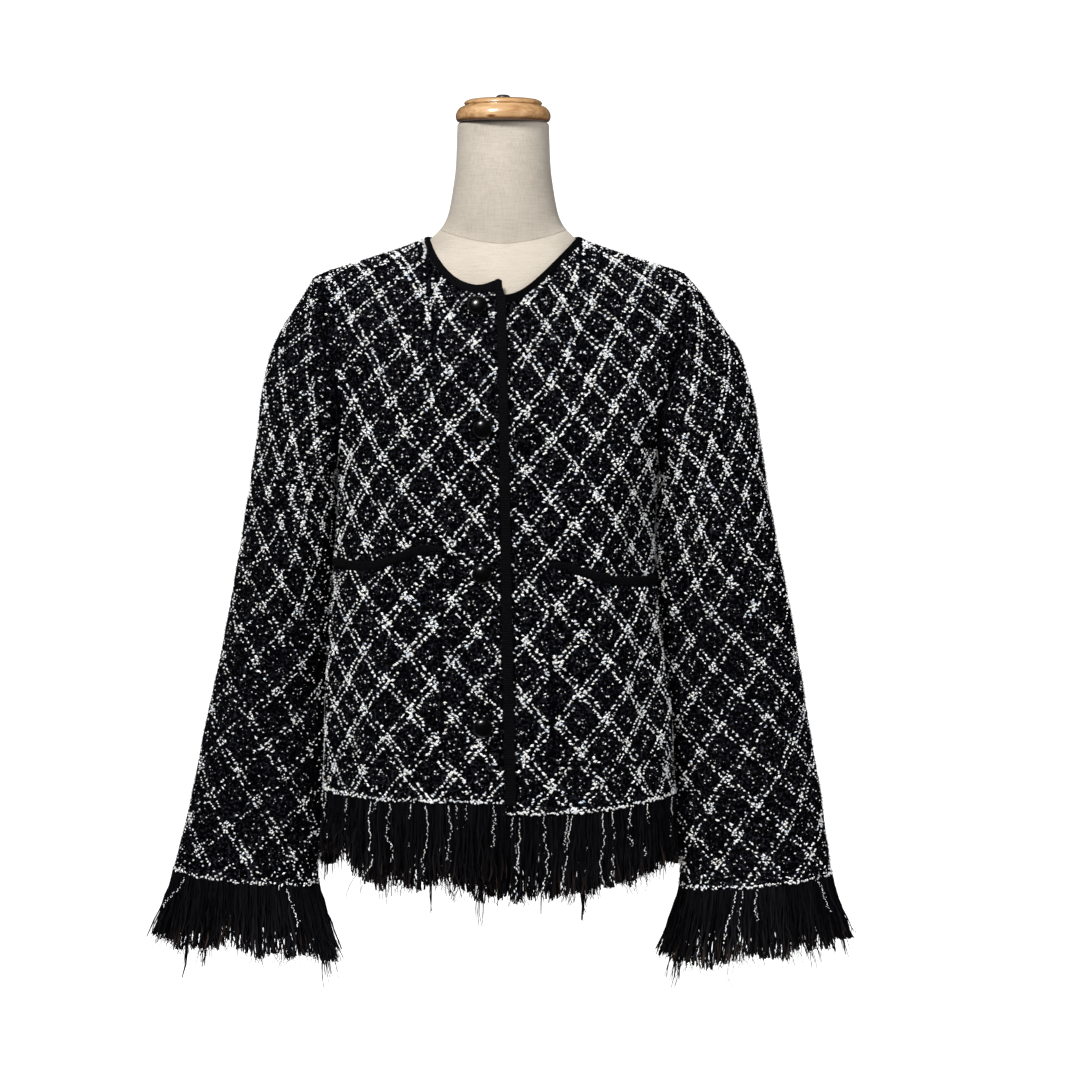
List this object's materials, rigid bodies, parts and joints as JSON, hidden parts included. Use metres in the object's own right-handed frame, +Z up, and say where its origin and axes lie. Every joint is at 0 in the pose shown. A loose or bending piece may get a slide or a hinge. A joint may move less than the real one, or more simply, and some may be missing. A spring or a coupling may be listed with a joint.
{
  "type": "cropped tweed jacket on a dress form",
  "caption": "Collarless cropped tweed jacket with fringed hem and cuffs and bound patch pockets, buttoned on a limbless dress form with a round stand.",
  "frame": {"origin": "middle of the stand's flat underside, on the floor", "axes": "+Z up, +X toward the wearer's left, the front faces -Y"},
  "size_m": [0.6533, 0.28, 0.9914],
  "materials": {
    "tweed": "nubby black and white boucle knit",
    "binding": "fine ribbed black tape",
    "fringe": "loose black yarn with white nubs",
    "button": "polished",
    "linen": "plain natural linen",
    "wood": "varnished",
    "knob": "satin",
    "stand": "white satin enamel"
  },
  "bodies": {
    "root": {"back": "tweed", "front_right": "tweed", "front_left": "tweed", "sleeve_right": "tweed", "sleeve_left": "tweed", "pocket_right": "tweed", "pocket_left": "tweed", "pocket_binding_right": "binding", "pocket_binding_left": "binding", "front_binding": "binding", "neck_binding": "binding", "hem_fringe_right": "fringe", "hem_fringe_left": "fringe", "hem_fringe_back": "fringe", "cuff_fringe_right": "fringe", "cuff_fringe_left": "fringe", "button_1": "button", "button_2": "button", "button_3": "button", "button_4": "button", "form_torso": "linen", "form_neck": "linen", "neck_cap": "wood", "cap_knob": "knob", "stand_pole": "stand", "stand_base": "stand"}
  },
  "joints": []
}
